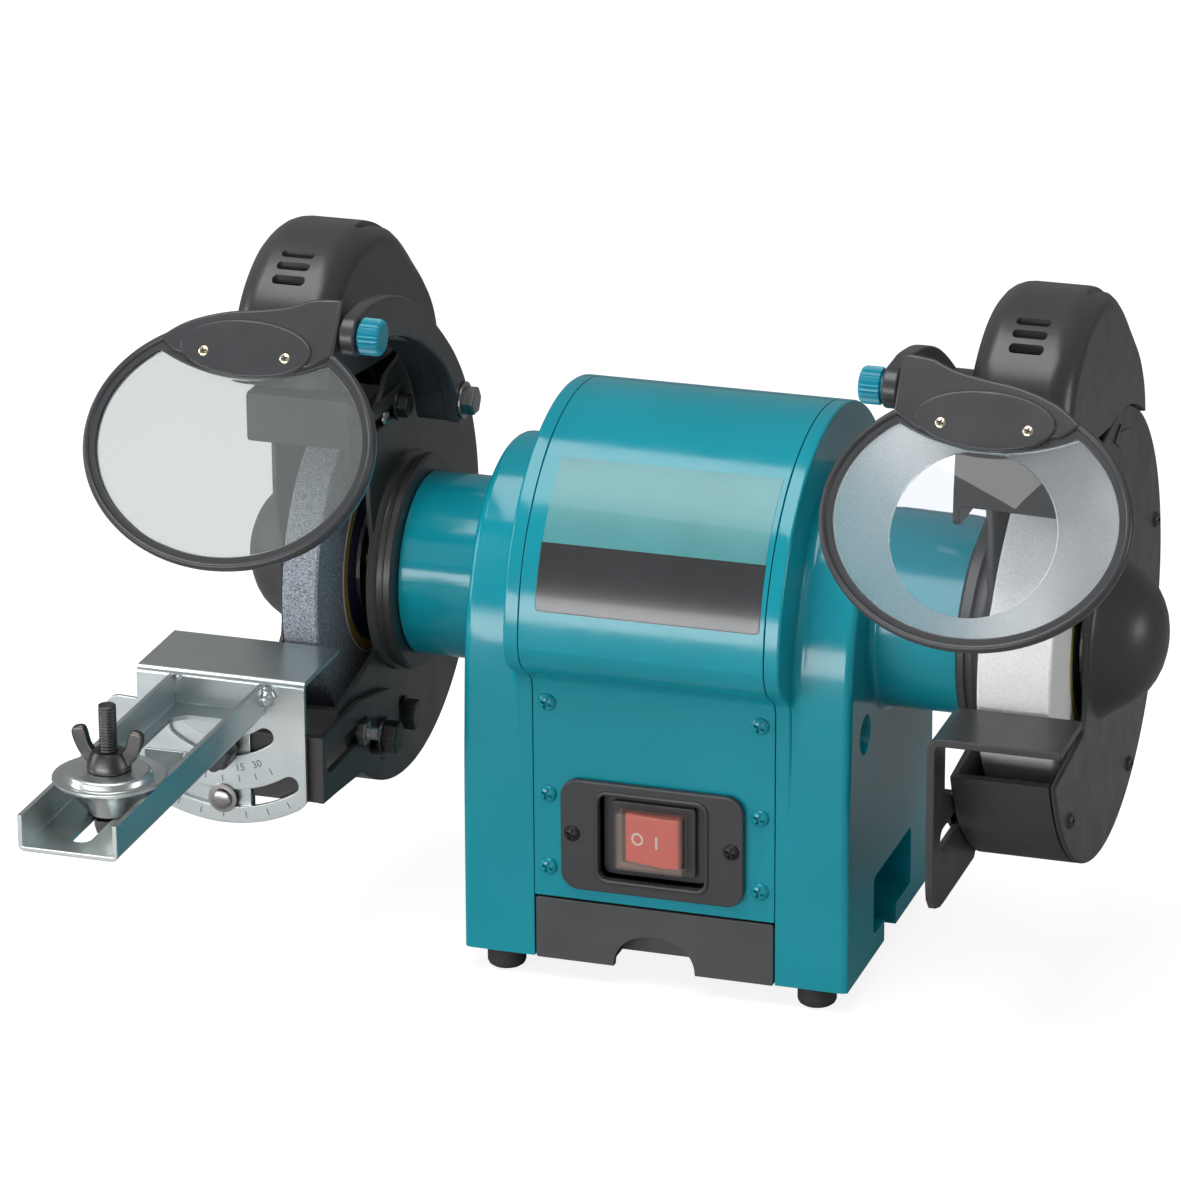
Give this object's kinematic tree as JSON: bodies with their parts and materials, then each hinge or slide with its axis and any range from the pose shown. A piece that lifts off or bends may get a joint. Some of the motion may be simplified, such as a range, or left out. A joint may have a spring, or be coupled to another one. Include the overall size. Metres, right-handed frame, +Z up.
{
  "type": "bench grinder",
  "caption": "Electric bench grinder: a motor in a cast body drives a grey and a white wheel, with guards, eye shields, tool rests and a drill sharpening jig.",
  "frame": {"origin": "centre of the box's footprint, on the surface that the feet stand on", "axes": "+X along the shaft to the operator's right, +Y away from the operator, +Z up"},
  "size_m": [0.4544, 0.385, 0.321],
  "materials": {
    "teal_paint": "gloss hammer-free enamel",
    "black_enamel": "satin powder coat",
    "black_plastic": "fine moulded texture",
    "tray_plastic": "fine moulded texture",
    "grey_stone": "coarse abrasive grain",
    "white_stone": "fine abrasive grain",
    "zinc": "bright zinc plate",
    "steel": "bright turned steel",
    "dark_steel": "black oxide",
    "lamination": "stacked sheet steel",
    "copper": "lacquered wire",
    "knob_teal": "moulded, semi-gloss",
    "rubber": "dull",
    "red_plastic": "gloss",
    "clear_plastic": "clear, polished",
    "capacitor_grey": "plain"
  },
  "bodies": {
    "root": {"left_end_casting": "teal_paint", "right_end_casting": "teal_paint", "motor_cover": "teal_paint", "left_guard_inner": "black_enamel", "right_guard_inner": "black_enamel", "left_guard_cover": "black_enamel", "right_guard_cover": "black_enamel", "switch_plate": "black_plastic", "switch_body": "black_plastic", "left_spark_cover": "black_plastic", "right_spark_cover": "black_plastic", "left_shield_arm": "black_plastic", "right_shield_arm": "black_plastic", "left_bearing": "steel", "right_bearing": "steel", "base_deck": "dark_steel", "left_arm_bolt": "dark_steel", "right_arm_bolt": "dark_steel", "left_rest_bolt": "dark_steel", "right_rest_bolt": "dark_steel", "stator_core": "lamination", "left_winding": "copper", "right_winding": "copper", "foot_front_left": "rubber", "foot_front_right": "rubber", "foot_back_left": "rubber", "foot_back_right": "rubber", "cord_gland": "rubber", "dust_cover": "clear_plastic", "capacitor": "capacitor_grey"},
    "rotor": {"shaft": "steel", "rotor_core": "lamination", "grey_wheel": "grey_stone", "white_wheel": "white_stone", "left_inner_flange": "steel", "left_outer_flange": "steel", "right_inner_flange": "steel", "right_outer_flange": "steel", "left_wheel_nut": "steel", "right_wheel_nut": "steel"},
    "rocker": {"rocker": "red_plastic"},
    "tray": {"coolant_tray": "tray_plastic"},
    "left_arrestor": {"left_spark_arrestor": "black_enamel"},
    "right_arrestor": {"right_spark_arrestor": "black_enamel"},
    "left_shield": {"left_shield_frame": "black_plastic", "left_shield_lens": "clear_plastic"},
    "right_shield": {"right_shield_frame": "black_plastic", "right_shield_lens": "clear_plastic"},
    "left_knob": {"left_shield_knob": "knob_teal"},
    "right_knob": {"right_shield_knob": "knob_teal"},
    "left_rest_carrier": {"left_rest_bracket": "black_enamel", "left_rest_sector": "zinc", "rest_sector_bolt": "steel"},
    "left_rest": {"left_rest_plate": "zinc", "jig_channel": "zinc"},
    "clamp_knob": {"rest_clamp_knob": "black_plastic"},
    "jig": {"jig_cone": "zinc", "jig_bolt": "dark_steel"},
    "wing_nut": {"wing_nut": "dark_steel"},
    "right_rest": {"right_rest": "black_enamel"}
  },
  "joints": [
    {"name": "rotor_spin", "type": "hinge", "parent": "root", "child": "rotor", "pos_m": [0.00375, 0.0945, 0.16], "axis": [1, 0, 0], "continuous": true},
    {"name": "rocker_tilt", "type": "hinge", "parent": "root", "child": "rocker", "pos_m": [0.00375, 0.0285, 0.0715], "axis": [0, 0, 1], "range_deg": [0, 8]},
    {"name": "tray_slide", "type": "slide", "parent": "root", "child": "tray", "axis": [0, -1, 0], "range_m": [0, 0.105]},
    {"name": "left_arrestor_slide", "type": "slide", "parent": "root", "child": "left_arrestor", "axis": [0, 1, 0], "range_m": [0, 0.01]},
    {"name": "right_arrestor_slide", "type": "slide", "parent": "root", "child": "right_arrestor", "axis": [0, 1, 0], "range_m": [0, 0.01]},
    {"name": "left_shield_tilt", "type": "hinge", "parent": "root", "child": "left_shield", "pos_m": [-0.12105, -0.0195, 0.301], "axis": [1, 0, 0], "range_deg": [-75, 8]},
    {"name": "right_shield_tilt", "type": "hinge", "parent": "root", "child": "right_shield", "pos_m": [0.12855, -0.0195, 0.301], "axis": [1, 0, 0], "range_deg": [-75, 8]},
    {"name": "left_knob_turn", "type": "hinge", "parent": "root", "child": "left_knob", "pos_m": [-0.10325, -0.0195, 0.301], "axis": [1, 0, 0], "range_deg": [-180, 180]},
    {"name": "right_knob_turn", "type": "hinge", "parent": "root", "child": "right_knob", "pos_m": [0.11075, -0.0195, 0.301], "axis": [1, 0, 0], "range_deg": [-180, 180]},
    {"name": "left_rest_slide", "type": "slide", "parent": "root", "child": "left_rest_carrier", "axis": [0, 1, 0], "range_m": [-0.006, 0.002]},
    {"name": "left_rest_swing", "type": "hinge", "parent": "left_rest_carrier", "child": "left_rest", "pos_m": [-0.17325, -0.027, 0.146], "axis": [0, 1, 0], "range_deg": [-30, 30]},
    {"name": "clamp_knob_turn", "type": "hinge", "parent": "left_rest_carrier", "child": "clamp_knob", "pos_m": [-0.17325, -0.027, 0.113], "axis": [0, 1, 0], "range_deg": [-180, 180]},
    {"name": "jig_slide", "type": "slide", "parent": "left_rest", "child": "jig", "axis": [0, 1, 0], "range_m": [-0.03, 0.025]},
    {"name": "wing_nut_turn", "type": "hinge", "parent": "jig", "child": "wing_nut", "pos_m": [-0.17425, -0.147, 0.149], "axis": [0, 0, 1], "range_deg": [-180, 180]},
    {"name": "right_rest_slide", "type": "slide", "parent": "root", "child": "right_rest", "axis": [0, 1, 0], "range_m": [-0.012, 0.002]}
  ]
}
